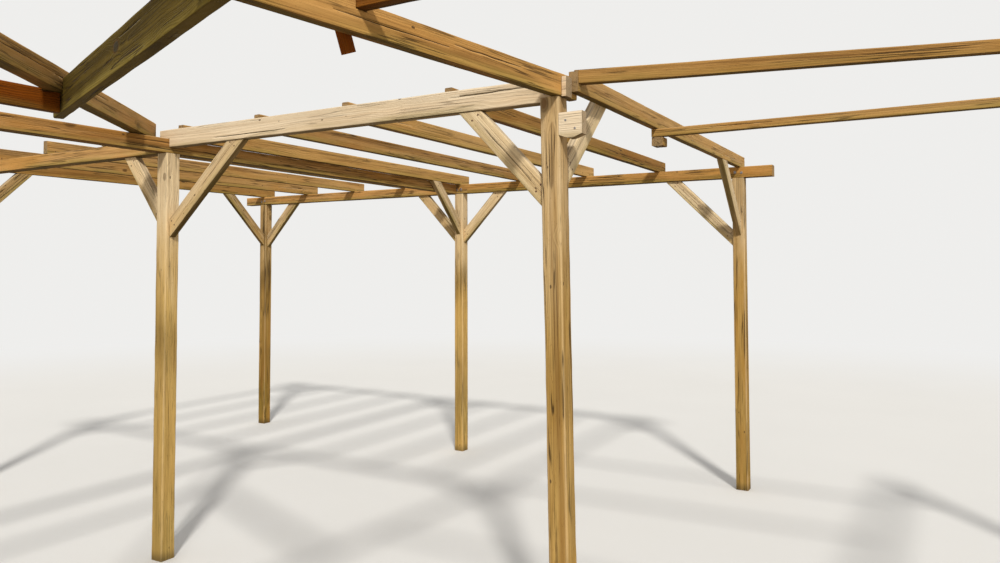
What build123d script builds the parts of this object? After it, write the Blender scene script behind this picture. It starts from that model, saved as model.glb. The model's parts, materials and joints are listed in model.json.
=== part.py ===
"""A weathered timber pergola: two roofed bays, an open bay in front and battens that link to a side frame.

Millimetres, +Z up. Posts stand on the ground at z = 0 and the origin is the middle of the
footprint. The layout is worked out from the middle post of the back row, at x = 0, y = 0:
+X runs along the back beam and +Y from the open bay towards the back.
"""
from build123d import *
from math import hypot
import os

# The bays, measured between the middles of the posts
bay_length = 2500
bay_depth = 3040
open_bay_depth = 3010
side_bay_length = 2500
side_frame_depth = 2880

# Posts
post_size = 90
post_arris = 5
tall_post_inset = 73
tall_post_drop = 29
tall_post_lean = 40

# The lower beams lie on the posts and the rafters are let down over them
lower_underside = 2323
beam_width = 85
beam_depth = 85
rafter_notch = 5
rafter_width = 45
rafter_depth = 90
rafters_per_bay = 4
timber_arris = 3

# The front beam on the right is a deeper board that the rafters butt against
front_board_width = 60
front_board_depth = 105
front_board_drop = 48

# How far timbers run past what carries them
beam_overhang = 250
rafter_overhang = 60
open_bay_overhang = 120
side_overhang = 120

# The lap where the two back beams meet over the middle post, and the room left in joints
lap_length = 180
notch_clearance = 1
joint_gap = 1
seat_gap = 0.3

# Knee braces: how far each kind reaches from the post and how far it drops
brace_face = 88
brace_thickness = 45
steep_brace = (340, 430)
short_brace = (430, 450)
long_brace = (520, 515)
wide_brace = (600, 520)
lapped_brace = (500, 470)
brace_lap = 75

# The open bay: a beam that falls from the tall post to the near right post
open_beam_width = 45
open_beam_depth = 98
open_beam_shift = 326
open_beam_lap = 60

# The diagonal from the middle beam to the near right post
diagonal_width = 70
diagonal_depth = 100
diagonal_setback = 190
diagonal_inset = 70
diagonal_tail = 185

# The deep beam that hooks under the diagonal, and the return that runs off it
deep_beam_width = 45
deep_beam_depth = 145
deep_beam_left_setback = 990
deep_beam_right_setback = 1640
deep_beam_tail = 100
return_offset = 28
return_width = 45
return_depth = 95

# The stub that is left of a brace on the far side of the open bay's beam
stub_setback = 1192
stub_drop = 57
stub_lean = (66, 164)
stub_width = 24
stub_depth = 48

# The battens on the right and the frame that takes their far ends
batten_width = 45
batten_depth = 45
batten_lap = 35
batten_setback = 1100
cleat_length = 64
cleat_width = 75
cleat_depth = 50
front_batten_rise = 79
front_batten_root = 62
front_batten_tip = 34
front_batten_end_setback = 258
near_batten_setback = 1175
near_batten_sink = 26
packer_width = 65

# The block that is fixed to the tall post
block_width = 105
block_depth = 48
block_side = 96
block_point = 18
block_drop = 98

# Levels and lines that follow from them
beam_top = lower_underside + beam_depth
rafter_underside = beam_top - rafter_notch
rafter_top = rafter_underside + rafter_depth
tall_post_top = rafter_underside - tall_post_drop
front_board_underside = rafter_underside - front_board_drop
batten_underside = rafter_underside - batten_depth
side_underside = batten_underside - beam_depth
back_line = 0
front_line = -bay_depth
near_line = front_line - open_bay_depth
left_line = -bay_length
right_line = bay_length
side_line = right_line + side_bay_length
half_post = post_size / 2
half_beam = beam_width / 2
half_rafter = rafter_width / 2

# The middle beam lies against the side of the rafter over the middle post
middle_line = -(half_beam + half_rafter + joint_gap)
tall_post_x = right_line - tall_post_inset
open_beam_start_x = right_line - half_rafter - open_beam_width / 2
open_beam_end_x = right_line - open_beam_shift
batten_line = front_line + batten_setback
near_batten_line = front_line - near_batten_setback
side_back_line = near_batten_line + side_frame_depth

UP = Vector(0, 0, 1)


def bar(start, end, width, depth):
    """A straight bar with sharp edges whose underside is centred on the line from start to end."""
    start, end = Vector(*start), Vector(*end)
    run = (end - start).normalized()
    across = UP.cross(run).normalized()
    lying = Box((end - start).length, width, depth, align=(Align.MIN, Align.CENTER, Align.MIN))
    return Plane(origin=start, x_dir=run, z_dir=run.cross(across)) * lying


def timber(start, end, width, depth):
    """A bar with its four long edges eased."""
    plain = bar(start, end, width, depth)
    length = (Vector(*end) - Vector(*start)).length
    long_edges = [edge for edge in plain.edges() if abs(edge.length - length) < 1]
    return chamfer(long_edges, timber_arris)


def tapered(start, end, width, start_depth, end_depth):
    """A batten whose underside follows the line from start to end while its depth changes."""
    start, end = Vector(*start), Vector(*end)
    run = end - start
    outline = Polyline((0, 0), (run.length, 0), (run.length, end_depth), (0, start_depth), close=True)
    side = Plane(origin=start, x_dir=run, z_dir=run.cross(UP))
    return extrude(side * make_face(outline), width / 2, both=True)


def room_for(start, end, width, depth):
    """The space that a timber takes with the gap of a joint round it, to cut a seat with."""
    sunk = Vector(*start) - UP * joint_gap, Vector(*end) - UP * joint_gap
    return bar(*sunk, width + 2 * joint_gap, depth + 2 * joint_gap)


def stopped(piece, room):
    """What is left of a timber that is cut off where it meets another."""
    return max((piece - room).solids(), key=lambda solid: solid.volume)


def space(x_range, y_range, z_range):
    """A box between two limits on each axis, to cut a seat with."""
    sizes = [high - low for low, high in (x_range, y_range, z_range)]
    middle = [(high + low) / 2 for low, high in (x_range, y_range, z_range)]
    return Pos(*middle) * Box(*sizes)


def seat_over_x_beam(y):
    """The notch that lets a rafter down over a beam that runs along X at y."""
    reach = half_beam + notch_clearance
    return space((left_line - bay_length, side_line + bay_length), (y - reach, y + reach), (0, beam_top))


def post(x, y, top, lean=0):
    """A square post with eased corners, cut level at its head; its foot stands lean to the right."""
    section = chamfer(Rectangle(post_size, post_size).vertices(), post_arris)
    return loft([Pos(x + lean, y, 0) * section, Pos(x, y, top) * section], ruled=True)


def brace(x, y, direction, reach, head):
    """A knee brace from the face of the post at x, y up to the underside at head."""
    run, drop = reach
    foot = head - drop
    wide = brace_face * hypot(run, drop) / drop
    tall = brace_face * hypot(run, drop) / run
    outline = Polyline(
        (half_post, foot),
        (half_post + run, head),
        (half_post + run - wide, head),
        (half_post, foot + tall),
        close=True,
    )
    run_dir = Vector(*direction, 0)
    side = Plane(origin=(x, y, 0), x_dir=run_dir, z_dir=run_dir.cross(UP))
    return extrude(side * make_face(outline), brace_thickness / 2, both=True)


def side_by_side(solids):
    """Like pieces that don't touch, kept as one node."""
    return Compound(children=list(solids))


nodes = {}

# Posts: the one at the right of the front row is taller and leans
nodes["back_left_post"] = post(left_line, back_line, lower_underside)
nodes["back_middle_post"] = post(0, back_line, lower_underside)
nodes["back_right_post"] = post(right_line, back_line, lower_underside)
nodes["front_left_post"] = post(left_line, front_line, lower_underside)
nodes["front_middle_post"] = post(middle_line, front_line, lower_underside)
nodes["front_right_post"] = post(tall_post_x, front_line, tall_post_top, lean=tall_post_lean)
nodes["near_left_post"] = post(middle_line, near_line, lower_underside)
nodes["near_right_post"] = post(open_beam_end_x, near_line, lower_underside)
nodes["side_front_post"] = post(side_line, near_batten_line, side_underside)
nodes["side_back_post"] = post(side_line, side_back_line, side_underside)

# The open bay's beam falls from the head of the tall post, beside the last rafter, to the near right post
last_rafter = (
    (right_line, front_line + half_post, rafter_underside),
    (right_line, back_line + half_beam + rafter_overhang, rafter_underside),
    rafter_width,
    rafter_depth,
)
high_seat = Vector(open_beam_start_x, front_line - half_post, tall_post_top + seat_gap)
low_seat = Vector(open_beam_end_x, near_line - half_post, lower_underside + seat_gap)
fall = (low_seat - high_seat).normalized()
open_beam = (
    high_seat - fall * (post_size + open_beam_lap),
    low_seat + fall * open_bay_overhang,
    open_beam_width,
    open_beam_depth,
)


def on_line(start, run, y):
    """The point where a sloping line reaches y."""
    return start + run * ((y - start.Y) / run.Y)


# The near batten is let down over that beam and ends flush with its far side
over_beam_point = on_line(high_seat, fall, near_batten_line)
near_batten_underside = over_beam_point.Z + open_beam_depth - near_batten_sink
near_batten = (
    (over_beam_point.X - open_beam_width / 2, near_batten_line, near_batten_underside),
    (side_line + half_beam, near_batten_line, near_batten_underside),
    batten_width,
    batten_depth,
)
nodes["open_bay_beam"] = timber(*open_beam) - room_for(*last_rafter) - room_for(*near_batten)
nodes["near_batten"] = timber(*near_batten)

# The stub leans along the far side of the beam, and its sawn end hangs below
stub_point = on_line(high_seat, fall, front_line - stub_setback)
beam_way = Vector(fall.X, fall.Y, 0).normalized()
stub_aside = UP.cross(beam_way) * (open_beam_width / 2 + seat_gap + stub_width / 2)
stub_start = stub_point - stub_aside - UP * stub_drop
stub_end = stub_start + beam_way * stub_lean[0] + UP * stub_lean[1]
nodes["brace_stub"] = timber(stub_start, stub_end, stub_width, stub_depth)

# The back beam in two lengths, halved together over the middle post
lap_middle = lower_underside + beam_depth / 2
left_length = timber(
    (left_line - beam_overhang, back_line, lower_underside),
    (lap_length / 2, back_line, lower_underside),
    beam_width,
    beam_depth,
)
right_length = timber(
    (-lap_length / 2, back_line, lower_underside),
    (right_line + beam_overhang, back_line, lower_underside),
    beam_width,
    beam_depth,
)
lap_y = (-beam_width, beam_width)
nodes["back_beam_left"] = left_length - space(
    (-lap_length / 2 - joint_gap, lap_length), lap_y, (lap_middle, rafter_top)
)
nodes["back_beam_right"] = right_length - space(
    (-lap_length, lap_length / 2 + joint_gap), lap_y, (0, lap_middle)
)

# The middle beam runs from the open bay over the front row and stops against the back beam
nodes["middle_beam"] = timber(
    (middle_line, near_line - open_bay_overhang, lower_underside),
    (middle_line, back_line - half_beam, lower_underside),
    beam_width,
    beam_depth,
)

# The front beam on the left stops against the middle beam
nodes["front_beam_left"] = timber(
    (left_line - beam_overhang, front_line, lower_underside),
    (middle_line - half_beam, front_line, lower_underside),
    beam_width,
    beam_depth,
)

# The board on the right is notched over the middle beam and over the head of the tall post
board = timber(
    (middle_line - half_beam, front_line, front_board_underside),
    (right_line, front_line, front_board_underside),
    front_board_width,
    front_board_depth,
)
board_y = (front_line - beam_width, front_line + beam_width)
board -= space((left_line, middle_line + half_beam + joint_gap), board_y, (0, beam_top))
board -= space((tall_post_x - half_post - joint_gap, side_line), board_y, (0, tall_post_top))
nodes["front_beam_right"] = stopped(board, room_for(*open_beam))

# The near beam ties the two near posts and the side beam takes the battens
near_piece = timber(
    (middle_line + half_beam, near_line, lower_underside),
    (right_line, near_line, lower_underside),
    beam_width,
    beam_depth,
)
nodes["near_beam"] = stopped(near_piece, room_for(*open_beam))
nodes["side_beam"] = timber(
    (side_line, near_batten_line - side_overhang, side_underside),
    (side_line, side_back_line + side_overhang, side_underside),
    beam_width,
    beam_depth,
)

# Rafters, numbered from the left: those of the left bay lie over both beams, the others butt the board
rafter_spacing = bay_length / rafters_per_bay
for number in range(2 * rafters_per_bay):
    x = left_line + number * rafter_spacing
    over_beam = number < rafters_per_bay
    near_end = front_line - half_beam if over_beam else front_line + front_board_width / 2 + seat_gap
    rafter = timber(
        (x, near_end, rafter_underside),
        (x, back_line + half_beam + rafter_overhang, rafter_underside),
        rafter_width,
        rafter_depth,
    )
    rafter -= seat_over_x_beam(back_line)
    if over_beam:
        rafter -= seat_over_x_beam(front_line - notch_clearance)
    nodes[f"rafter_{number + 1}"] = rafter
nodes[f"rafter_{2 * rafters_per_bay + 1}"] = timber(*last_rafter) - seat_over_x_beam(back_line)

# The diagonal lies on the middle beam and is let down over the open bay's beam at the near right post
crossing = Vector(middle_line, front_line - diagonal_setback, beam_top)
landing = Vector(open_beam_end_x - diagonal_inset, near_line, beam_top)
diagonal_run = (landing - crossing).normalized()
diagonal = (
    crossing - diagonal_run * diagonal_tail,
    landing + diagonal_run * half_beam,
    diagonal_width,
    diagonal_depth,
)
nodes["diagonal_beam"] = timber(*diagonal) - room_for(*open_beam)

# The deep beam hooks under the diagonal and stops at the open bay's beam
hook = on_line(crossing, diagonal_run, front_line - deep_beam_left_setback)
stop = on_line(high_seat, fall, front_line - deep_beam_right_setback)
hook.Z = stop.Z = lower_underside
deep_run = (stop - hook).normalized()
deep = (
    hook - deep_run * deep_beam_tail,
    stop + deep_run * open_beam_width,
    deep_beam_width,
    deep_beam_depth,
)
hooked = timber(*deep) - room_for(*diagonal)
nodes["deep_beam"] = stopped(hooked, room_for(*open_beam))

# The return runs from the deep beam to the near beam, let in under the diagonal
return_x = hook.X + return_offset
return_piece = timber(
    (return_x, front_line, lower_underside),
    (return_x, near_line + half_beam, lower_underside),
    return_width,
    return_depth,
)
return_piece -= room_for(*diagonal)
nodes["return_beam"] = stopped(return_piece, room_for(*deep))

# The front batten is cut flush to the side of the last rafter and falls to the side beam as it tapers
front_batten = tapered(
    (right_line, front_line + half_post + batten_width / 2, batten_underside + front_batten_rise),
    (side_line + half_beam, front_line + front_batten_end_setback, batten_underside + seat_gap),
    batten_width,
    front_batten_root,
    front_batten_tip,
)
batten_face = right_line + half_rafter + seat_gap
nodes["front_batten"] = front_batten - space(
    (left_line, batten_face), (front_line, back_line), (0, rafter_top)
)

# The middle batten hangs under the last rafter, rests on the side beam and has a cleat under its end
batten_start_x = right_line + half_rafter - batten_lap
nodes["middle_batten"] = timber(
    (batten_start_x, batten_line, batten_underside),
    (side_line + half_beam, batten_line, batten_underside),
    batten_width,
    batten_depth,
)
cleat_y = batten_line - batten_width / 2
cleat = space(
    (batten_start_x, batten_start_x + cleat_length),
    (cleat_y, cleat_y + cleat_width),
    (batten_underside - cleat_depth, batten_underside),
)

# A packer on the side beam carries the near batten, which lies higher than the others
packer = space(
    (side_line - half_beam, side_line + half_beam),
    (near_batten_line - packer_width / 2, near_batten_line + packer_width / 2),
    (batten_underside + seat_gap, near_batten_underside - seat_gap),
)
nodes["batten_cleat"] = side_by_side([cleat, packer])

# The block on the outer face of the tall post comes to a blunt point below
block_x = tall_post_x + half_post
block_top = rafter_underside - block_drop
block_outline = Polyline(
    (block_x, block_top),
    (block_x + block_width, block_top),
    (block_x + block_width, block_top - block_side),
    (block_x + block_width / 2, block_top - block_side - block_point),
    (block_x, block_top - block_side),
    close=True,
)
block_front = Plane(origin=(0, front_line - half_post, 0), x_dir=(1, 0, 0), z_dir=(0, -1, 0))
block = extrude(block_front * make_face(block_outline), -block_depth)
nodes["post_block"] = block - nodes["front_right_post"]

# Knee braces, one node for each post
BACK, NEAR, LEFT, RIGHT = (0, 1), (0, -1), (-1, 0), (1, 0)
low, high = lower_underside, rafter_underside
brace_plan = {
    "back_left": (left_line, back_line, [(RIGHT, short_brace, low), (NEAR, long_brace, high)]),
    "back_middle": (
        0,
        back_line,
        [(LEFT, short_brace, low), (RIGHT, short_brace, low), (NEAR, short_brace, high)],
    ),
    "back_right": (right_line, back_line, [(LEFT, long_brace, low), (NEAR, long_brace, high)]),
    "front_left": (left_line, front_line, [(RIGHT, short_brace, low), (BACK, long_brace, high)]),
    "front_middle": (
        middle_line,
        front_line,
        [(LEFT, steep_brace, low), (RIGHT, wide_brace, front_board_underside)],
    ),
    "near_left": (middle_line, near_line, [(RIGHT, short_brace, low), (BACK, short_brace, low)]),
    "near_right": (open_beam_end_x, near_line, [(LEFT, short_brace, low)]),
    "side_front": (side_line, near_batten_line, [(BACK, short_brace, side_underside)]),
    "side_back": (side_line, side_back_line, [(NEAR, short_brace, side_underside)]),
}
for name, (x, y, directions) in brace_plan.items():
    nodes[f"{name}_braces"] = side_by_side(brace(x, y, *each) for each in directions)

# The tall post's braces are cut to its leaning faces, and one runs up beside the last rafter
lap_x = right_line - half_rafter - joint_gap - brace_thickness / 2
foot_lean = tall_post_lean * short_brace[1] / front_board_underside + joint_gap
tall_braces = [
    brace(tall_post_x + foot_lean, front_line, LEFT, short_brace, front_board_underside),
    brace(lap_x, front_line, BACK, lapped_brace, rafter_underside + brace_lap),
]
nodes["front_right_braces"] = side_by_side(piece - nodes["front_right_post"] for piece in tall_braces)

# Every node moves so that the middle of the footprint is the origin
boxes = [shape.bounding_box() for shape in nodes.values()]
middle_x = (min(box.min.X for box in boxes) + max(box.max.X for box in boxes)) / 2
middle_y = (min(box.min.Y for box in boxes) + max(box.max.Y for box in boxes)) / 2
os.makedirs("parts", exist_ok=True)
for name, shape in nodes.items():
    export_step(Pos(-middle_x, -middle_y, 0) * shape, f"parts/{name}.step")
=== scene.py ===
"""Looks for the timber pergola.

Each timber is worn sawn stock that is split, cut to the joints of the frame and weathered.
Metres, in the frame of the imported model.
"""
import bpy
import json
import math
import numpy as np
from itertools import product
from mathutils import Matrix, Vector
from mathutils.bvhtree import BVHTree


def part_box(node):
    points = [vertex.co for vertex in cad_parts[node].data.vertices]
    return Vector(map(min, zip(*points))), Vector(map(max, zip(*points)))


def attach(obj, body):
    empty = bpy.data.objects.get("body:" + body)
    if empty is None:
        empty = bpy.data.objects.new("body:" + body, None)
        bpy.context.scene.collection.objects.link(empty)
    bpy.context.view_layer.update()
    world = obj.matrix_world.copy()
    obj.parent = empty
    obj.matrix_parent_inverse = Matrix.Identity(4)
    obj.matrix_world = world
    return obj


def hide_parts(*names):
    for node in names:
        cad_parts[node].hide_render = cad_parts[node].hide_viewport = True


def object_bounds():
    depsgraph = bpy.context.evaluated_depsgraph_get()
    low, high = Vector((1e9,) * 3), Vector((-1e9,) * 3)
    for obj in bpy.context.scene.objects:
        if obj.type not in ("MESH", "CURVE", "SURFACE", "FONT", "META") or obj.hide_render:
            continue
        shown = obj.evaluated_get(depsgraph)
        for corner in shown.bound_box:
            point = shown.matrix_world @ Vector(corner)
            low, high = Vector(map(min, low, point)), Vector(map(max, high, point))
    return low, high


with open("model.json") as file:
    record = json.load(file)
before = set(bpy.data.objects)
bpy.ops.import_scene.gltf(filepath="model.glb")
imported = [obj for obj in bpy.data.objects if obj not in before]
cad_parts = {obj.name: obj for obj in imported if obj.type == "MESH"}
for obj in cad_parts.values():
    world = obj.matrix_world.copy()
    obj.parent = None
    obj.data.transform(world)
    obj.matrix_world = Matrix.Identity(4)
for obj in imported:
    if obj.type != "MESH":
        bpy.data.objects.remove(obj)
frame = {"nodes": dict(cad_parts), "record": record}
cad_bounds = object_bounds()

SEED = 41
UP = Vector((0, 0, 1))


# Shader helpers
class Socket:
    """An output of a shader node, which is added, scaled and compared as a number is."""

    def __init__(self, shader, link):
        self.shader = shader
        self.link = link

    def __add__(self, other):
        return self.shader.maths("ADD", self, other)

    def __radd__(self, other):
        return self.shader.maths("ADD", other, self)

    def __sub__(self, other):
        return self.shader.maths("SUBTRACT", self, other)

    def __rsub__(self, other):
        return self.shader.maths("SUBTRACT", other, self)

    def __mul__(self, other):
        return self.shader.maths("MULTIPLY", self, other)

    def __rmul__(self, other):
        return self.shader.maths("MULTIPLY", other, self)

    def __truediv__(self, other):
        return self.shader.maths("DIVIDE", self, other)

    def __abs__(self):
        return self.shader.maths("ABSOLUTE", self)

    def root(self):
        return self.shader.maths("SQRT", self)

    def part_of_one(self):
        return self.shader.maths("FRACT", self)

    def rise(self, low, high):
        """0 below low, 1 above high and smooth between; low may be the higher of the two."""
        turned = {0: self, 1: min(low, high), 2: max(low, high)}
        step = self.shader.node("ShaderNodeMapRange", {"interpolation_type": "SMOOTHSTEP"}, turned)
        return step if low < high else 1 - step


class Shader:
    """A node tree that is put together one node at a time."""

    def __init__(self, tree):
        self.tree = tree

    def feed(self, socket, value):
        """Links a socket, or sets it to a value."""
        if isinstance(value, Socket):
            self.tree.links.new(value.link, socket)
        elif socket.type == "RGBA" and len(value) == 3:
            socket.default_value = (*value, 1)
        else:
            socket.default_value = value

    def node(self, kind, settings=None, inputs=None, output=0):
        """Adds a node with its settings, values and links, and hands on one of its outputs."""
        made = self.tree.nodes.new(kind)
        for name, value in (settings or {}).items():
            if name == "stops":
                for stop in value[2:]:
                    made.color_ramp.elements.new(stop[0])
                for element, (place, level) in zip(made.color_ramp.elements, value):
                    element.position = place
                    element.color = (level, level, level, 1)
            else:
                setattr(made, name, value)
        for name, value in (inputs or {}).items():
            self.feed(made.inputs[name], value)
        return Socket(self, made.outputs[output])

    def maths(self, operation, *values):
        return self.node("ShaderNodeMath", {"operation": operation}, dict(enumerate(values)))

    def held(self, name, output=2):
        """A value that the mesh holds under a name."""
        return self.node("ShaderNodeAttribute", {"attribute_name": name}, output=output)

    def place(self):
        """Where a point lies on the object."""
        return self.node("ShaderNodeTexCoord", output=3)

    def parts(self, vector):
        return [self.node("ShaderNodeSeparateXYZ", {}, {0: vector}, output=i) for i in range(3)]

    def scaled(self, vector, factors):
        return self.node("ShaderNodeVectorMath", {"operation": "MULTIPLY"}, {0: vector, 1: factors})

    def cloud(self, vector, factors, detail=2.0, roughness=0.5, warp=0.0):
        """Soft noise from 0 to 1 with its own fineness along each axis."""
        inputs = {"Vector": self.scaled(vector, factors), "Scale": 1, "Detail": detail}
        inputs.update({"Roughness": roughness, "Distortion": warp})
        return self.node("ShaderNodeTexNoise", {}, inputs)

    def mix(self, share, first, second, how="MIX"):
        """One colour passing into another by share."""
        settings = {"data_type": "RGBA", "blend_type": how}
        return self.node("ShaderNodeMix", settings, {0: share, 6: first, 7: second}, output=2)

    def seen_directly(self):
        """1 for what the camera sees straight or in a gloss, and 0 for light that a surface sends on."""
        straight = self.node("ShaderNodeLightPath", output="Is Camera Ray")
        glossy = self.node("ShaderNodeLightPath", output="Is Glossy Ray")
        return self.maths("MAXIMUM", straight, glossy)


class Finish(Shader):
    """A material and its surface."""

    def __init__(self, name):
        self.material = bpy.data.materials.new(name)
        self.material.use_nodes = True
        super().__init__(self.material.node_tree)
        self.surface = self.tree.nodes["Principled BSDF"]

    def cover(self, colour, roughness, height, strength, distance):
        """Puts the colour, the roughness and the relief on the surface."""
        bump = {"Strength": strength, "Distance": distance, "Height": height}
        self.feed(self.surface.inputs["Base Color"], colour)
        self.feed(self.surface.inputs["Roughness"], roughness)
        self.feed(self.surface.inputs["Normal"], self.node("ShaderNodeBump", {}, bump))


# Growth of the timber
RING_WIDTH = 0.0062
# How dark a ring is, from one winter to the next
RING_STOPS = [(0.0, 0.75), (0.12, 0.0), (0.45, 0.12), (0.8, 0.75), (0.93, 1.0)]
# Points to a metre along the grain, across it and through the depth
KNOTS = (3.3, 5.6, 5.6)
PIN_KNOTS = (8, 17, 17)


class TimberFinish(Finish):
    """A finish that follows how the wood grew and how it lies, by masks that run mostly from 0 to 1."""

    def __init__(self, name):
        super().__init__(name)
        self.grain = self.held("grain", output=1)
        self.tone, self.old, self.green = self.parts(self.held("tone", output=1))
        self.height = self.parts(self.place())[2]
        self.upward = self.parts(self.node("ShaderNodeNewGeometry", output=1))[2]
        self.streak = self.cloud(self.grain, (1.1, 62, 62), detail=3.0, roughness=0.6)
        self.fibre = self.cloud(self.grain, (14, 520, 520), roughness=0.65)
        self.patch = self.cloud(self.grain, (1.3, 9, 9), detail=3.0, roughness=0.6, warp=0.4)
        self.stain = self.cloud(self.grain, (2.6, 19, 19), detail=3.0)
        self.grow_knots()
        self.grow_rings()
        self.open_checks()

    def spots(self, to_a_metre, output=0):
        """How far the nearest of some scattered points is, or with output 1 that point's own colour."""
        inputs = {"Vector": self.scaled(self.grain, to_a_metre), "Scale": 1, "Randomness": 1}
        return self.node("ShaderNodeTexVoronoi", {"feature": "F1"}, inputs, output=output)

    def grow_knots(self):
        """Knots and their rims sit where a scattered point comes near the surface; pin knots are dots."""
        chance = self.parts(self.spots(KNOTS, output=1))[0]
        gap = self.spots(KNOTS) / (0.45 + chance * 0.8)
        self.knot = gap.rise(0.098, 0.07)
        self.knot_rim = gap.rise(0.135, 0.1) * (1 - self.knot)
        self.swell = gap.rise(0.42, 0.06)
        self.pin_knot = self.spots(PIN_KNOTS).rise(0.085, 0.055)

    def grow_rings(self):
        """Growth rings run round the pith, wander slowly along the timber and swell round the knots."""
        across, depth = self.parts(self.grain)[1:]
        wander = self.cloud(self.grain, (0.8, 6, 6), detail=1.0) * 0.055
        tremor = self.cloud(self.grain, (4, 30, 30)) * 0.003
        radius = (across * across + depth * depth).root() + wander + tremor + self.swell * 0.012
        inputs = {"W": radius * 45, "Scale": 1, "Detail": 1}
        good_years = self.node("ShaderNodeTexNoise", {"noise_dimensions": "1D"}, inputs)
        ring = (radius / RING_WIDTH + good_years * 2.4).part_of_one()
        self.late = self.node("ShaderNodeValToRGB", {"stops": RING_STOPS}, {0: ring}) * (1 - self.knot)

    def open_checks(self):
        """Fine checks open along the fibres, here and there and clear of the knots."""
        thread = abs(self.cloud(self.grain, (1.2, 54, 54), detail=1.0) - 0.5)
        self.check = thread.rise(0.028, 0.007) * self.stain.rise(0.45, 0.54) * (1 - self.knot)


# Colours of growth and weather, some of them a pair to mix, and colours of painted shade
DULL_AND_SHADED_TIMBER = (0.72, 0.65, 0.52)
DEEP_GOLD = (0.80, 0.68, 0.36)
KNOT_SHADE = 0.706
KNOT_RIM = (0.085, 0.04, 0.015)
PIN_KNOT = (0.07, 0.033, 0.013)
SILVER = ((0.58, 0.51, 0.41), (0.27, 0.22, 0.16))
ALGAE = (0.24, 0.175, 0.03)
ALGAE_AND_PAINTED_SHADE_BELOW = (0.06, 0.05, 0.01)
DRIP_STAIN = (0.33, 0.25, 0.055)
PAINTED_SHADE_BELOW = (0.30, 0.235, 0.15)
WET_FOOT = (0.055, 0.042, 0.022)
END_GRAIN = ((0.36, 0.25, 0.135), (0.14, 0.085, 0.042))
CHECK = (0.04, 0.022, 0.01)
SPLIT_PAINTED_SHADE = (0.03, 0.018, 0.009)
RUST_BROWN = (0.15, 0.05, 0.018)


def sawn_wood(wood, pale, warm, dark, contrast):
    """Pale and warm patches under dark bands, late wood, streaks, fibres and specks."""
    band = wood.cloud(wood.grain, (0.6, 24, 24))
    speck = wood.cloud(wood.grain, (60, 210, 210), detail=1.0)
    colour = wood.mix(wood.patch.rise(0.3, 0.7) * 0.5 + wood.tone * 0.65 - 0.08, warm, pale)
    colour = wood.mix(band.rise(0.46, 0.76) * contrast * 0.55, colour, dark)
    colour = wood.mix(wood.late * (0.2 + wood.stain.rise(0.35, 0.65) * 0.45) * contrast, colour, dark)
    colour = wood.mix(wood.streak.rise(0.52, 0.72) * contrast * 0.8, colour, dark)
    colour = wood.mix(wood.streak.rise(0.45, 0.26) * 0.5, colour, pale)
    colour = wood.mix(wood.fibre.rise(0.45, 0.7) * 0.25, colour, dark)
    colour = wood.mix(speck.rise(0.66, 0.74) * 0.35, colour, dark)
    # Low tones dull the timber through this colour, and on the darkest timbers that dulling is painted
    # shade
    return wood.mix((0.55 - wood.tone) * 1.2, colour, DULL_AND_SHADED_TIMBER, how="MULTIPLY")


def deepened(wood, colour, gold):
    """Posts go from bleached tan at the head to a deeper gold towards the foot."""
    lower = (wood.height + wood.patch * 0.9).rise(2.6, 1.8)
    return wood.mix(lower * gold, colour, DEEP_GOLD, how="MULTIPLY")


def knotted(wood, colour, dark):
    """Knots are darker than the late wood and have a dark rim, and pin knots are dark dots."""
    colour = wood.mix(wood.knot * 0.9, colour, tuple(level * KNOT_SHADE for level in dark))
    colour = wood.mix(wood.knot_rim * 0.55, colour, KNOT_RIM)
    return wood.mix(wood.pin_knot * 0.85, colour, PIN_KNOT)


def silvered(wood, colour, pale, grey):
    """The weather turns the upper faces to silver and bleaches the arrises."""
    silver = wood.upward.rise(0.35, 0.85) * 0.5 + wood.old * grey * wood.patch.rise(0.35, 0.6)
    silver_colour = wood.mix(wood.streak.rise(0.3, 0.7), *SILVER)
    colour = wood.mix(silver * (1 - wood.knot * 0.6), colour, silver_colour)
    return wood.mix(wood.held("edge") * 0.5 * wood.streak.rise(0.25, 0.55), colour, pale)


def greened_and_shaded_below(wood, colour, algae):
    """Algae grows low on the posts and under a lying timber; painted shade makes that underside a darker
    olive and darkens every face that looks down.
    """
    low = wood.height.rise(1.0, 0.1) * 0.45
    under = wood.upward.rise(-0.45, -0.85)
    film = (low + under * 0.75 + wood.green * 0.45) * algae * wood.stain.rise(0.3, 0.62)
    colour = wood.mix(film, colour, ALGAE)
    # Algae under a lying timber, made darker by painted shade
    colour = wood.mix(film * under * 0.8, colour, ALGAE_AND_PAINTED_SHADE_BELOW)
    drip = wood.held("damp").rise(0.0, 0.9) * (wood.stain * 0.7 + wood.patch * 0.7).rise(0.45, 0.85)
    colour = wood.mix(drip * (0.25 + algae * 0.6), colour, DRIP_STAIN)
    # Painted shade: every face that looks down is darkened
    colour = wood.mix(under * 0.9, colour, PAINTED_SHADE_BELOW, how="MULTIPLY")
    foot = wood.height.rise(0.07, 0.0) * (0.35 + wood.stain * 0.5)
    return wood.mix(foot, colour, WET_FOOT)


def opened(wood, colour, contrast):
    """Sawn ends drink water and go dark, open checks are darker still, and the faces deep in the splits
    get painted shade.
    """
    end_shade = wood.mix(wood.late * 0.6, *END_GRAIN)
    colour = wood.mix(wood.held("sawn") * 0.75, colour, end_shade)
    colour = wood.mix(wood.check * 0.85 * contrast, colour, CHECK)
    # Painted shade deep inside the drying splits
    return wood.mix(wood.held("deep") * 0.85, colour, SPLIT_PAINTED_SHADE)


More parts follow.
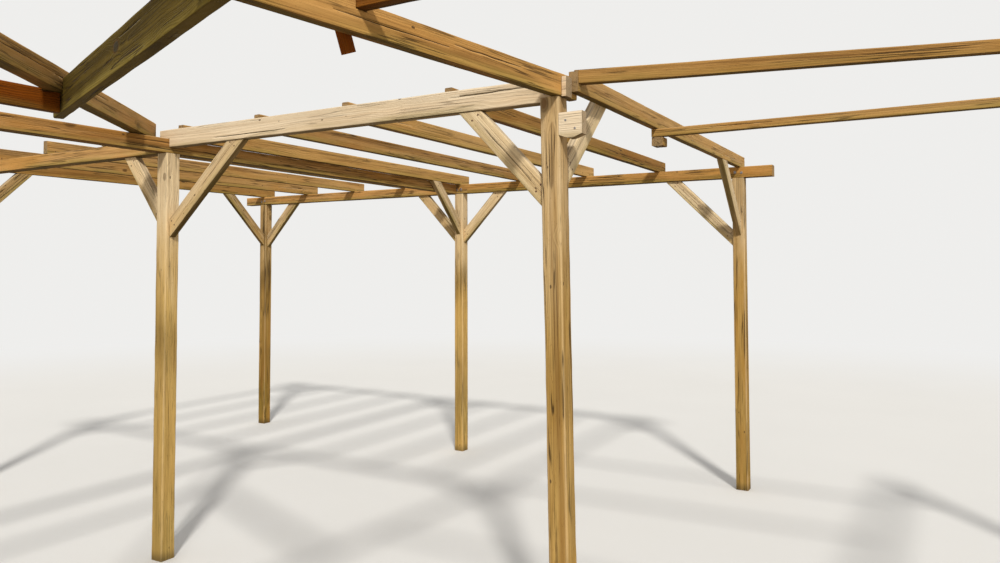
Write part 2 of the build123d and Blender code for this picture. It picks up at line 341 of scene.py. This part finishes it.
def weathered_timber(name, pale, warm, dark, grey, algae, gold=0.0, figure=1.0):
    """Sawn softwood left outdoors.

    Pale, warm and dark are the colours of its patches, its ground and its late wood. Grey is how far
    an old timber silvers, algae how far it greens, gold how much deeper a post colours towards its
    foot, and figure how strongly the grain shows.
    """
    wood = TimberFinish(name)
    contrast = (1.05 - wood.tone * 0.6) * figure
    colour = sawn_wood(wood, pale, warm, dark, contrast)
    if gold:
        colour = deepened(wood, colour, gold)
    colour = knotted(wood, colour, dark)
    colour = silvered(wood, colour, pale, grey)
    colour = greened_and_shaded_below(wood, colour, algae)
    colour = opened(wood, colour, contrast)
    relief = wood.late * 0.5 + wood.fibre * 0.45 + wood.streak * 0.9 - wood.check * contrast * 1.8
    relief = relief + wood.knot * 0.5 - wood.knot_rim * 0.5
    roughness = 0.8 + wood.streak * 0.12 - wood.knot * 0.18
    wood.cover(colour, roughness, relief, strength=0.85, distance=0.0022)
    wood.feed(wood.surface.inputs["Specular IOR Level"], 0.12)
    return wood.material


def weathered_steel(name, base, rust):
    """Dull zinc with rust that starts in spots."""
    steel = Finish(name)
    place = steel.place()
    blotch = steel.cloud(place, (160, 160, 160), detail=4.0, roughness=0.65)
    spangle = steel.node("ShaderNodeTexVoronoi", {}, {"Vector": place, "Scale": 420})
    rusty = blotch.rise(0.42, 0.62) * rust
    colour = steel.mix(spangle * 0.8, base, tuple(level * 0.6 for level in base))
    colour = steel.mix(rusty, colour, RUST_BROWN)
    steel.cover(colour, 0.42 + rusty * 0.45, blotch + rusty * 0.6, strength=0.4, distance=0.0006)
    steel.feed(steel.surface.inputs["Metallic"], 0.85 - rusty * 0.8)
    return steel.material


FINISHES = {
    "post_timber": weathered_timber(
        "post timber",
        pale=(0.95, 0.76, 0.48),
        warm=(0.70, 0.48, 0.23),
        dark=(0.28, 0.15, 0.055),
        grey=0.2,
        algae=0.6,
        gold=1.0,
    ),
    "beam_timber": weathered_timber(
        "beam timber",
        pale=(0.79, 0.44, 0.14),
        warm=(0.55, 0.275, 0.068),
        dark=(0.18, 0.072, 0.017),
        grey=0.2,
        algae=0.6,
    ),
    "rafter_timber": weathered_timber(
        "rafter timber",
        pale=(0.70, 0.415, 0.14),
        warm=(0.45, 0.23, 0.062),
        dark=(0.15, 0.062, 0.016),
        grey=0.2,
        algae=0.5,
    ),
    "pale_timber": weathered_timber(
        "sun-bleached timber",
        pale=(0.93, 0.79, 0.59),
        warm=(0.80, 0.62, 0.40),
        dark=(0.56, 0.37, 0.20),
        grey=0.2,
        algae=0.35,
        figure=0.6,
    ),
    # Mossy olive timber, darkened further by painted shade
    "mossy_timber": weathered_timber(
        "mossy timber in painted shade",
        pale=(0.25, 0.18, 0.026),
        warm=(0.135, 0.092, 0.010),
        dark=(0.038, 0.024, 0.003),
        grey=0.15,
        algae=1.0,
    ),
    # Painted shade and painted warm bounce light make this brown darker and redder than the wood
    "red_timber": weathered_timber(
        "red-brown timber in painted shade",
        pale=(0.42, 0.125, 0.006),
        warm=(0.27, 0.07, 0.003),
        dark=(0.10, 0.024, 0.002),
        grey=0.0,
        algae=0.1,
    ),
}
ZINC = weathered_steel("zinc-plated steel", base=(0.42, 0.42, 0.41), rust=0.75)
RUST = weathered_steel("rusted steel", base=(0.20, 0.12, 0.075), rust=0.9)


# Mesh helpers
def points_of(mesh):
    flat = np.empty(len(mesh.vertices) * 3)
    mesh.vertices.foreach_get("co", flat)
    return flat.reshape(-1, 3)


def place_points(mesh, points):
    mesh.vertices.foreach_set("co", points.ravel())
    mesh.update()


def only(piece):
    """Leaves one piece selected and active."""
    bpy.ops.object.select_all(action="DESELECT")
    piece.select_set(True)
    bpy.context.view_layer.objects.active = piece


def unit_cube():
    """A new cube with sides of 1, on the origin."""
    bpy.ops.object.select_all(action="DESELECT")
    bpy.ops.mesh.primitive_cube_add(size=1)
    return bpy.context.active_object


def edit(piece, operator, **settings):
    """Runs one edit-mode step on all of a piece."""
    only(piece)
    bpy.ops.object.mode_set(mode="EDIT")
    bpy.ops.mesh.select_all(action="SELECT")
    operator(**settings)
    bpy.ops.object.mode_set(mode="OBJECT")


def nothing_selected(kind):
    """Leaves no vertex, edge or face of the active piece selected, ready to choose some of one kind."""
    bpy.ops.object.mode_set(mode="EDIT")
    bpy.ops.mesh.select_mode(type=kind)
    bpy.ops.mesh.select_all(action="DESELECT")
    bpy.ops.object.mode_set(mode="OBJECT")


def cut_rows(piece, axis, cuts):
    """Divides the edges that run along one axis, which puts rows of faces across it."""
    only(piece)
    nothing_selected("EDGE")
    mesh = piece.data
    points = points_of(mesh)
    ends = np.empty(len(mesh.edges) * 2, dtype=np.int32)
    mesh.edges.foreach_get("vertices", ends)
    ends = ends.reshape(-1, 2)
    run = np.abs(points[ends[:, 1]] - points[ends[:, 0]])
    mesh.edges.foreach_set("select", run[:, axis] > 0.999 * np.linalg.norm(run, axis=1))
    bpy.ops.object.mode_set(mode="EDIT")
    bpy.ops.mesh.subdivide(number_cuts=cuts)
    bpy.ops.object.mode_set(mode="OBJECT")


def cut_by(piece, operation, cutter):
    """Takes a cutter out of a piece, or keeps what both share, and drops the cutter."""
    only(piece)
    modifier = piece.modifiers.new("cut", "BOOLEAN")
    modifier.operation = operation
    modifier.solver = "MANIFOLD"
    modifier.object = cutter
    bpy.ops.object.modifier_apply(modifier=modifier.name)
    drop(cutter)


def drop(piece):
    mesh = piece.data
    bpy.data.objects.remove(piece)
    bpy.data.meshes.remove(mesh)


def joined(pieces, name):
    """Several pieces made one under a name."""
    only(pieces[0])
    for piece in pieces[1:]:
        piece.select_set(True)
    if len(pieces) > 1:
        bpy.ops.object.join()
    piece = bpy.context.view_layer.objects.active
    piece.name = name
    piece.data.name = name
    return piece


def finished(piece, material, smooth_to):
    """Gives a piece its material and the body it rides on, and smooths it up to an angle in degrees."""
    piece.data.materials.clear()
    piece.data.materials.append(material)
    only(piece)
    bpy.ops.object.shade_smooth_by_angle(angle=math.radians(smooth_to))
    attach(piece, "root")


# Unevenness of the stock
LATTICE_SIDE = 48
LATTICE = np.random.default_rng(SEED).random((LATTICE_SIDE, LATTICE_SIDE, LATTICE_SIDE)) * 2 - 1
SEED_STRIDE = 7.31


def drift(points, scale, seed):
    """Smooth noise from -1 to 1, seen at points that are scaled along each axis first."""
    place = points * np.array(scale) + seed * SEED_STRIDE
    cell = np.floor(place).astype(int)
    share = place - cell
    share = share * share * (3 - 2 * share)
    total = np.zeros(len(points))
    for corner in np.ndindex(2, 2, 2):
        weight = np.ones(len(points))
        for i in range(3):
            weight = weight * (share[:, i] if corner[i] else 1 - share[:, i])
        at = (cell + corner) % LATTICE_SIDE
        total += weight * LATTICE[at[:, 0], at[:, 1], at[:, 2]]
    return total


# Sawn stock
ROW_LENGTH = 0.026
ROWS_ALONG = (4, 100)
ROWS_ACROSS = 10
SPARE_LENGTH = 0.02
SLOW_WEAR = 0.45
NICKS = 0.35
LEAST_ARRIS = 0.0012
MOST_ARRIS_SHARE = 0.3
SKIN = 0.0004
HOLLOW = 0.0007
RIDGE = 0.0004


def arris_radius(place, wear, seed):
    """How far each arris is rounded beside each point, which changes slowly and in nicks."""
    corner = np.sign(place[:, 1]) + 2 * np.sign(place[:, 2])
    line = np.column_stack([place[:, 0], corner, corner * 0])
    slow = SLOW_WEAR * drift(line, (2.1, 5.3, 1), seed)
    nicks = NICKS * drift(line, (14, 5.3, 1), seed + 1)
    return wear * (1 + slow + nicks)


def rounded(gap, radius):
    """Distances from the two nearest faces, moved so that the arris between the faces is round."""
    on_side = gap[:, 0] < gap[:, 1]
    share = np.clip(np.maximum(gap[:, 0], gap[:, 1]) / radius, 0, 1)
    angle = math.pi / 4 * (1 - share)
    inward = radius * (1 - np.cos(angle))
    sideways = radius * (1 - np.sin(angle))
    turned = share < 1
    moved = gap.copy()
    moved[:, 0] = np.where(turned, np.where(on_side, inward, sideways), gap[:, 0])
    moved[:, 1] = np.where(turned, np.where(on_side, sideways, inward), gap[:, 1])
    return moved


def rough_stock(size, seed, wear):
    """A sawn length lying along X, with worn arrises and faces that are not quite flat."""
    length, width, depth = size[0] + 2 * SPARE_LENGTH, size[1], size[2]
    least, most = ROWS_ALONG
    stock = unit_cube()
    cut_rows(stock, 0, max(least, min(most, round(length / ROW_LENGTH))))
    cut_rows(stock, 1, ROWS_ACROSS)
    cut_rows(stock, 2, ROWS_ACROSS)

    # Rows crowd towards the arrises, so that their rounding shows
    unit = points_of(stock.data)
    half = np.array([width, depth]) / 2
    section = np.sin(unit[:, 1:] * math.pi) * half
    place = np.column_stack([unit[:, 0] * length, section])
    radius = np.clip(arris_radius(place, wear, seed), LEAST_ARRIS, min(width, depth) * MOST_ARRIS_SHARE)
    gap = np.clip(half - np.abs(section), 0, None)
    moved = rounded(gap, radius)

    # The faces are a little hollow here and full there, with ridges along the grain
    slow = drift(place, (2.3, 12, 12), seed + 2)
    ridge = drift(place, (5.5, 95, 95), seed + 3)
    sink = SKIN + HOLLOW * (1 + slow) + RIDGE * (1 + ridge)
    outer = np.where(moved < 0.25 * half, 1, 0)
    moved += outer * sink[:, None] * np.clip(1 - gap / (0.3 * half), 0, 1)
    place[:, 1:] = np.sign(section) * (half - moved)
    place_points(stock.data, place)
    return stock


# Drying splits
SPLIT_REACH = (0.16, 0.62)
SPLIT_REACH_SHARE = 0.8
SPLIT_OPENING = (0.0018, 0.0048)
SPLIT_SINK = (0.008, 0.019)
SPLIT_ROWS = 15
SPLIT_PROUD = 0.003
SPLIT_SHALLOWEST = 0.0012
SPLIT_FOOT = 0.0002
SPLIT_SPREAD = 0.92
SPLIT_STRAY = 0.05
SLOW_JAG = 0.0022
SLOW_JAG_SEEDS = (0, 30)
FINE_JAG = 0.0009
FINE_JAG_SEED = 9.4
CLEAR_OF_ARRIS = 0.012
LEAST_ROOM = 0.002
ROOM_USED = 0.8
SHORT_TIMBER = 0.2


def split_wedge(reach, opening, sink, slow_seed, fine_seed):
    """A thin jagged wedge along X, open above and running out at its ends and down in the wood."""
    wedge = unit_cube()
    cut_rows(wedge, 0, SPLIT_ROWS)
    unit = points_of(wedge.data)
    swell = np.sin((unit[:, 0] + 0.5) * math.pi) ** 0.7
    jag = SLOW_JAG * drift(unit, (7, 0, 0), slow_seed) + FINE_JAG * drift(unit, (23, 0, 0), fine_seed)
    top = unit[:, 2] > 0
    place = np.empty_like(unit)
    place[:, 0] = unit[:, 0] * reach
    place[:, 1] = unit[:, 1] * np.where(top, opening * (0.15 + swell), SPLIT_FOOT) + jag
    place[:, 2] = np.where(top, SPLIT_PROUD, -sink * swell + SPLIT_SHALLOWEST)
    place_points(wedge.data, place)
    return wedge


def split_cutters(size, draw, splits):
    """Wedges that open drying splits along the grain, each on its own stretch of one face."""
    length, width, depth = size
    count = max(1, round(length * splits))
    wedges = []
    for number in range(count):
        reach = min(draw.uniform(*SPLIT_REACH), SPLIT_REACH_SHARE * length)
        opening = draw.uniform(*SPLIT_OPENING)
        sink = draw.uniform(*SPLIT_SINK)
        slow_seed = number + draw.uniform(*SLOW_JAG_SEEDS)
        wedge = split_wedge(reach, opening, sink, slow_seed, number + FINE_JAG_SEED)
        face = int(draw.integers(4))
        span, out = (depth, width) if face % 2 else (width, depth)
        room = max(0.5 * span - CLEAR_OF_ARRIS, LEAST_ROOM)
        aside = draw.uniform(-room, room) * ROOM_USED
        stretch = (number + 0.5) / count - 0.5
        along = stretch * length * SPLIT_SPREAD + draw.uniform(-SPLIT_STRAY, SPLIT_STRAY) * length
        quarter = Matrix.Rotation(face * math.pi / 2, 4, "X")
        wedge.data.transform(quarter @ Matrix.Translation((along, aside, out / 2)))
        wedges.append(wedge)
    return joined(wedges, "split cutters")


# Timbers of the frame
UPRIGHT = 0.9
EDGE_REACH = 0.011
SPLIT_SHADE_FROM = 0.0035
SPLIT_SHADE_OVER = 0.004
DAMP_REACH = 0.045
SAWN_ACROSS = 0.45
STOCK_SEEDS = (0, 40)
LOG_LENGTH = 60
PITH_OUTSIDE = 0.05
STRAY_TONE = 0.12
TIMBER_SMOOTH_TO = 38
# The lie and the size of each timber, by node, for the fixings
LIES = {}


def solids_in(node):
    """The separate solids of a node of the frame, each as a merged copy of its own."""
    copy = frame["nodes"][node].copy()
    copy.data = copy.data.copy()
    copy.parent = None
    bpy.context.scene.collection.objects.link(copy)
    edit(copy, bpy.ops.mesh.remove_doubles, threshold=0.00002)
    edit(copy, bpy.ops.mesh.dissolve_limited, angle_limit=math.radians(0.5))
    edit(copy, bpy.ops.mesh.separate, type="LOOSE")
    return list(bpy.context.selected_objects)


def lie_of(solid):
    """How a timber lies: a matrix along its grain, across it and through its depth, and its size."""
    mesh = solid.data
    points = points_of(mesh)
    runs = [points[edge.vertices[1]] - points[edge.vertices[0]] for edge in mesh.edges]
    grain = Vector(max(runs, key=np.linalg.norm)).normalized()
    if grain.dot(Vector((1, 1, 1))) < 0:
        grain = -grain
    across = Vector((1, 0, 0)) if abs(grain.z) > UPRIGHT else UP.cross(grain)
    depth = grain.cross(across).normalized()
    across = depth.cross(grain).normalized()
    turn = np.array([grain, across, depth])
    seen = points @ turn.T
    low, high = seen.min(0), seen.max(0)
    lie = Matrix((grain, across, depth)).transposed().to_4x4()
    lie.translation = Vector(turn.T @ ((low + high) / 2))
    return lie, high - low


def mark(piece, parts):
    """Writes on the mesh where each point lies in its own timber, for the finish to follow."""
    points = points_of(piece.data)
    marks = {"grain": [], "edge": [], "deep": [], "damp": [], "tone": []}
    for first, last, lie, size, shift, shade in parts:
        inverse = np.array(lie.inverted())
        local = points[first:last] @ inverse[:3, :3].T + inverse[:3, 3]
        gap = np.array(size[1:]) / 2 - np.abs(local[:, 1:])
        near, far = gap.min(1), gap.max(1)
        above = size[2] / 2 + local[:, 2] * math.copysign(1, lie.col[2].z)
        lying = 0 if abs(lie.col[0].z) > UPRIGHT else 1
        marks["grain"].append(local + shift)
        marks["edge"].append(np.clip(1 - far / EDGE_REACH, 0, 1))
        # How deep a point lies in a split, where the finish paints shade
        marks["deep"].append(np.clip((near - SPLIT_SHADE_FROM) / SPLIT_SHADE_OVER, 0, 1))
        marks["damp"].append(lying * np.clip(1 - above / DAMP_REACH, 0, 1))
        marks["tone"].append(np.tile(shade, (last - first, 1)))
    for name, values in marks.items():
        values = np.concatenate(values)
        kind, field = ("FLOAT_VECTOR", "vector") if values.ndim == 2 else ("FLOAT", "value")
        piece.data.attributes.new(name, kind, "POINT").data.foreach_set(field, values.ravel())


def mark_ends(mesh, lie):
    """Marks the faces that are sawn across the grain."""
    axis = Vector(lie.col[0][:3])
    sawn = [float(abs(face.normal.dot(axis)) > SAWN_ACROSS) for face in mesh.polygons]
    mesh.attributes.new("sawn", "FLOAT", "FACE").data.foreach_set("value", sawn)


def timber(node, slot, wear, splits):
    """Cuts a node's timbers again from worn stock, with the joints that the frame gives them.

    Wear is the radius of the arrises, and splits is how many there are to a metre.
    """
    draw = np.random.default_rng([SEED, *node.encode()])
    made, parts, first = [], [], 0
    for solid in solids_in(node):
        lie, size = lie_of(solid)
        stock = rough_stock(size, draw.uniform(*STOCK_SEEDS), wear)
        if size[0] > SHORT_TIMBER:
            cut_by(stock, "DIFFERENCE", split_cutters(size, draw, splits))
        stock.data.transform(lie)
        cut_by(stock, "INTERSECT", solid)
        mark_ends(stock.data, lie)
        pith = draw.uniform(-0.5, 0.5, 2) * (size[1] + PITH_OUTSIDE, size[2] + PITH_OUTSIDE)
        shift = np.array([draw.uniform(0, LOG_LENGTH), *pith])
        stray = draw.uniform(-STRAY_TONE, STRAY_TONE, 3)
        shade = TONE_OF[node] + stray if node in TONE_OF else draw.uniform(0, 1, 3)
        last = first + len(stock.data.vertices)
        parts.append((first, last, lie, size, shift, shade))
        made.append(stock)
        LIES.setdefault(node, []).append((lie, size))
        first = last
    piece = joined(made, node + "_timber")
    mark(piece, parts)
    finished(piece, FINISHES[slot], TIMBER_SMOOTH_TO)
    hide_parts(node)


# How pale, how silvered and how green the timbers are that show best, mostly from 0 to 1; the low tones
# of the brace stub, the deep beam, the return beam and the back left post paint shade onto them
TONE_OF = {
    "front_beam_right": (0.75, 0.2, 0.3),
    "post_block": (1.0, 0.0, 0.0),
    "back_beam_right": (0.3, 0.1, 0.6),
    "front_right_post": (0.2, 0.2, 0.4),
    "front_middle_post": (1.0, 0.1, 0.1),
    "back_middle_post": (0.85, 0.2, 0.1),
    "back_right_post": (0.25, 0.2, 0.5),
    "back_left_post": (0.0, 0.1, 1.0),
    "front_middle_braces": (0.8, 0.2, 0.1),
    "front_right_braces": (0.95, 0.3, 0.0),
    "back_right_braces": (0.85, 0.6, 0.2),
    "open_bay_beam": (0.6, 0.2, 0.4),
    "front_batten": (0.3, 0.0, 0.1),
    "deep_beam": (0.12, 0.0, 0.05),
    "return_beam": (0.15, 0.0, 0.0),
    "brace_stub": (-0.3, 0.0, 0.0),
    "middle_batten": (0.5, 0.4, 0.0),
}
SLOT_OF = {row["node"]: row["material_slot"] for row in frame["record"]["subparts"]}
WEAR_OF = {"post": 0.0068, "beam": 0.0052, "braces": 0.0045, "rafter": 0.0042}
SPLITS_OF = {"post": 2.8, "beam": 2.2, "braces": 2.0, "rafter": 1.4}
for node, slot in sorted(SLOT_OF.items()):
    kind = next((word for word in WEAR_OF if word in node), "rafter")
    timber(node, slot, WEAR_OF[kind], SPLITS_OF[kind])


# Seats of the screws and nails, on the faces where a carpenter drives them
RAY_LENGTH = 0.06
TOO_PROUD = 0.008
TOO_DEEP = 0.01
SQUARE_ON = 0.93
HEAD_ROOM = 0.009

# Places of the nails and screws, and the ranges in which they stray
BRACE_NAIL_FROM_END = (0.03, 0.042)
BRACE_NAIL_SHARE = (0.16, 0.24)
RAFTER_NAIL_ASIDE = (-0.014, 0.014)
RAFTER_NAIL_UP = (0.018, 0.026)
BEAM_SCREW_STEP = 0.024
BEAM_SCREW_ASIDE = (-0.004, 0.004)
BEAM_SCREW_UP = (-0.012, 0.004)


def skin_of_timbers():
    """One ray tree over all the finished timbers."""
    corners, faces = [], []
    for node in SLOT_OF:
        mesh = bpy.data.objects[node + "_timber"].data
        first = len(corners)
        corners.extend(points_of(mesh).tolist())
        faces.extend([first + corner for corner in face.vertices] for face in mesh.polygons)
    return BVHTree.FromPolygons(corners, faces)


SKIN_TREE = skin_of_timbers()


def seat(point, out):
    """Where a head lands that is pushed onto a face, and its way out; None where it can't go there."""
    hit, normal, _, gap = SKIN_TREE.ray_cast(point + out * RAY_LENGTH, -out, RAY_LENGTH + TOO_DEEP)
    if hit is None or gap < RAY_LENGTH - TOO_PROUD or normal.dot(out) < SQUARE_ON:
        return None
    tip = hit + out * HEAD_ROOM
    inside = all(low < place < high for low, place, high in zip(cad_bounds[0], tip, cad_bounds[1]))
    return (hit, out) if inside else None


def seat_on(lie, size, along, across, depth):
    """A seat at a place along, across and through a timber, on the face that the place is nearest to."""
    reach = (abs(across) - size[1] / 2, abs(depth) - size[2] / 2)
    axis, sign = (1, across) if reach[0] > reach[1] else (2, depth)
    out = (lie.to_3x3().col[axis] * math.copysign(1, sign)).normalized()
    return seat(lie @ Vector((along, across, depth)), out)


def every(*words):
    """The node, the lie and the size of each timber whose node has one of the words in its name."""
    return [(node, lie) for node in LIES if any(word in node for word in words) for lie in LIES[node]]


def brace_nails(draw):
    """Two skew nails in each broad face at both ends of every knee brace."""
    seats = []
    for _, (lie, size) in every("braces"):
        for end, side, step in product((-1, 1), repeat=3):
            inset = size[2] / 2 + draw.uniform(*BRACE_NAIL_FROM_END)
            along = end * (size[0] / 2 - inset)
            depth = step * size[2] * draw.uniform(*BRACE_NAIL_SHARE)
            seats.append(seat_on(lie, size, along, side * size[1] / 2, depth))
    return seats


# A crossing lies this far from the ends of the upper and the lower timber
CLEAR_OF_ENDS = (0.02, 0.01)
# The upper timber may pass this far clear of the lower one
CLEAR_OVER = 0.05
# Sine of the least angle at which they cross
LEAST_TURN = 0.3


def crossings(upper, lower):
    """Where the timbers of one set pass over those of another: the upper lie and the place along it."""
    found = []
    for (top_node, (top, top_size)), (low_node, (low, low_size)) in product(upper, lower):
        run, other = top.to_3x3().col[0], low.to_3x3().col[0]
        turn = run.x * other.y - run.y * other.x
        if top_node == low_node or abs(turn) < LEAST_TURN:
            continue
        gap = low.translation - top.translation
        along = (gap.x * other.y - gap.y * other.x) / turn
        along_low = (gap.x * run.y - gap.y * run.x) / turn
        past_end = abs(along) > top_size[0] / 2 - CLEAR_OF_ENDS[0]
        if past_end or abs(along_low) > low_size[0] / 2 - CLEAR_OF_ENDS[1]:
            continue
        rise = (top @ Vector((along, 0, 0)) - low @ Vector((along_low, 0, 0))).z
        if 0 < rise < (top_size[2] + low_size[2]) / 2 + CLEAR_OVER:
            found.append((top, top_size, along))
    return found


def rafter_nails(draw):
    """A skew nail on each side of a rafter or batten where it crosses a beam or a rafter."""
    seats = []
    for lie, size, along in crossings(every("rafter", "batten"), every("beam", "rafter")):
        for side in (-1, 1):
            place = along + draw.uniform(*RAFTER_NAIL_ASIDE)
            inset = size[2] / 2 - draw.uniform(*RAFTER_NAIL_UP)
            low = -math.copysign(1, lie.to_3x3().col[2].z) * inset
            seats.append(seat_on(lie, size, place, side * size[1] / 2, low))
    return seats


# How far a post's head may stand aside from a beam or below it and still carry the beam
POST_ASIDE = 0.06
POST_BELOW = 0.03


def beam_screws(draw):
    """Two coach screws on each side of a beam over the head of every post."""
    seats = []
    posts = [LIES[node][0] for node in LIES if node.endswith("post")]
    for (_, (lie, size)), (post, post_size) in product(every("beam"), posts):
        head = post @ Vector((post_size[0] / 2, 0, 0))
        along, across, depth = lie.inverted() @ head
        aside = abs(along) > size[0] / 2 or abs(across) > POST_ASIDE
        if aside or abs(depth) > size[2] / 2 + POST_BELOW:
            continue
        for side, step in product((-1, 1), repeat=2):
            place = along + step * BEAM_SCREW_STEP + draw.uniform(*BEAM_SCREW_ASIDE)
            level = draw.uniform(*BEAM_SCREW_UP)
            seats.append(seat_on(lie, size, place, side * size[1] / 2, level))
    return seats


# Shares of the block's width and height, and of the cleat's length
BLOCK_SPOTS = ((0.3, 0.68), (0.7, 0.36))
CLEAT_SPOTS = (-0.25, 0.25)


def block_screws():
    """Screws in the block on the tall post, and up into the cleat and the packer."""
    low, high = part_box("post_block")
    seats = []
    for share_x, share_z in BLOCK_SPOTS:
        point = Vector((low.x + share_x * (high.x - low.x), low.y, low.z + share_z * (high.z - low.z)))
        seats.append(seat(point, Vector((0, -1, 0))))
    for (lie, size), step in product(LIES["batten_cleat"], CLEAT_SPOTS):
        point = lie.translation + lie.to_3x3().col[0] * step * size[0] - UP * 0.5 * min(size[1:])
        seats.append(seat(point, -UP))
    return seats


# Screws and nails
HEAD_ROOT = 0.002
HEAD_BEDDED = 0.0002
HEAD_SMOOTH_TO = 40
FIXINGS_SEED = 77
# Radius, rise and sides of each head
BRACE_NAIL = (0.0045, 0.0009, 10)
RAFTER_NAIL = (0.004, 0.0009, 10)
BLOCK_SCREW = (0.005, 0.0012, 12)
COACH_SCREW = (0.0068, 0.0055, 6)
WASHER = (0.0105, 0.0012, 14)


def screw_head(radius, rise, sides):
    """A low head with a chamfered rim and a dished top, on a root that goes into the timber."""
    middle = (0, 0, (rise - HEAD_ROOT) / 2)
    size = {"radius": radius, "depth": rise + HEAD_ROOT}
    bpy.ops.object.select_all(action="DESELECT")
    bpy.ops.mesh.primitive_cylinder_add(vertices=sides, location=middle, **size)
    head = bpy.context.active_object
    bpy.ops.object.transform_apply(location=True)
    nothing_selected("FACE")
    for face in head.data.polygons:
        face.select = face.normal.z > 0.9
    bpy.ops.object.mode_set(mode="EDIT")
    bpy.ops.mesh.inset(thickness=radius * 0.22, depth=radius * 0.12)
    bpy.ops.mesh.inset(thickness=radius * 0.4, depth=-radius * 0.1)
    bpy.ops.object.mode_set(mode="OBJECT")
    return head


def bolt_head():
    """A six-sided coach screw head on a round washer."""
    washer = screw_head(*WASHER)
    head = screw_head(*COACH_SCREW)
    return joined([washer, head], "bolt head")


def fixings(name, head, finish, seats, draw):
    """Copies one head to every seat that was found, each turned its own way, and makes them one piece."""
    copies = []
    for hit, out in filter(None, seats):
        copy = head.copy()
        copy.data = head.data.copy()
        bpy.context.scene.collection.objects.link(copy)
        upright = out.to_track_quat("Z", "Y").to_matrix().to_4x4()
        turned = upright @ Matrix.Rotation(draw.uniform(0, math.tau), 4, "Z")
        copy.data.transform(Matrix.Translation(hit - out * HEAD_BEDDED) @ turned)
        copies.append(copy)
    drop(head)
    finished(joined(copies, name), finish, HEAD_SMOOTH_TO)


fix_draw = np.random.default_rng([SEED, FIXINGS_SEED])
fixings("brace_nails", screw_head(*BRACE_NAIL), RUST, brace_nails(fix_draw), fix_draw)
fixings("rafter_nails", screw_head(*RAFTER_NAIL), RUST, rafter_nails(fix_draw), fix_draw)
fixings("beam_coach_screws", bolt_head(), ZINC, beam_screws(fix_draw), fix_draw)
fixings("block_screws", screw_head(*BLOCK_SCREW), ZINC, block_screws(), fix_draw)


# Floor and light
BACKDROP = (0.86, 0.855, 0.84)
FLOOR_SEEN = ((0.72, 0.715, 0.70), (0.76, 0.755, 0.74))
FLOOR_SENDS_ON = (0.42, 0.38, 0.32)
FLOOR_SIZE = 240
FLOOR_FADES = (7.5, 15.0)
SOFT_LIGHT = (1.0, 0.985, 0.96)
SOFT_STRENGTH = 0.5
LAMP_LIGHT = (1.0, 0.965, 0.9)
LAMP_STRENGTH = 2.8
LAMP_FROM = (0.446, -0.594, 0.669)


def pale_floor():
    """A pale floor that keeps the shadow of the frame and passes into the backdrop far away."""
    finish = Finish("pale floor")
    place = finish.place()
    mottle = finish.cloud(place, (0.7, 0.7, 0.7), detail=3.0)
    colour = finish.mix(finish.seen_directly(), FLOOR_SENDS_ON, finish.mix(mottle, *FLOOR_SEEN))
    finish.cover(colour, 0.9, mottle, strength=0.02, distance=0.001)
    x, y = finish.parts(place)[:2]
    far = (x * x + y * y).root().rise(*FLOOR_FADES) * finish.seen_directly()
    glow = finish.node("ShaderNodeEmission", {}, {"Color": BACKDROP, "Strength": 1})
    shown = Socket(finish, finish.surface.outputs[0])
    both = finish.node("ShaderNodeMixShader", {}, {0: far, 1: shown, 2: glow})
    finish.feed(finish.tree.nodes["Material Output"].inputs["Surface"], both)
    bpy.ops.object.select_all(action="DESELECT")
    bpy.ops.mesh.primitive_plane_add(size=FLOOR_SIZE)
    floor = bpy.context.active_object
    floor.name = "studio_floor"
    floor.data.materials.append(finish.material)


def studio():
    """Soft light from all round and one broad lamp that stands high on the front right."""
    world = bpy.data.worlds.new("studio")
    world.use_nodes = True
    bpy.context.scene.world = world
    air = Shader(world.node_tree)
    soft = air.tree.nodes["Background"]
    air.feed(soft.inputs["Color"], SOFT_LIGHT)
    air.feed(soft.inputs["Strength"], SOFT_STRENGTH)
    light = Socket(air, soft.outputs[0])
    backdrop = air.node("ShaderNodeBackground", {}, {"Color": BACKDROP})
    both = air.node("ShaderNodeMixShader", {}, {0: air.seen_directly(), 1: light, 2: backdrop})
    air.feed(air.tree.nodes["World Output"].inputs["Surface"], both)
    data = bpy.data.lights.new("key lamp", "SUN")
    data.energy = LAMP_STRENGTH
    data.angle = math.radians(6)
    data.color = LAMP_LIGHT
    lamp = bpy.data.objects.new("key lamp", data)
    lamp.rotation_euler = Vector(LAMP_FROM).to_track_quat("Z", "Y").to_euler()
    bpy.context.scene.collection.objects.link(lamp)


# The photograph's viewpoint, measured from the foot of the middle post of the back row
STANDS_AT = (3.8636, -5.9831)
EYE_HEIGHT = 1.67
PITCH, ROLL, HEADING = 0.0395, 0.0025, 0.5236
PHOTO_WIDTH = 1000
FOCAL_PIXELS = 777.3
SHIFT = -0.047
SENSOR_WIDTH = 36


def place_camera():
    low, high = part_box("back_middle_post")
    foot = (low + high) / 2
    data = bpy.data.cameras.new("camera")
    data.sensor_width = SENSOR_WIDTH
    data.lens = FOCAL_PIXELS * SENSOR_WIDTH / PHOTO_WIDTH
    data.shift_y = SHIFT
    camera = bpy.data.objects.new("camera", data)
    camera.location = (foot.x + STANDS_AT[0], foot.y + STANDS_AT[1], EYE_HEIGHT)
    camera.rotation_euler = (math.pi / 2 + PITCH, ROLL, HEADING)
    bpy.context.scene.collection.objects.link(camera)
    bpy.context.scene.camera = camera


pale_floor()
studio()
place_camera()
bpy.context.scene.view_settings.view_transform = "Standard"
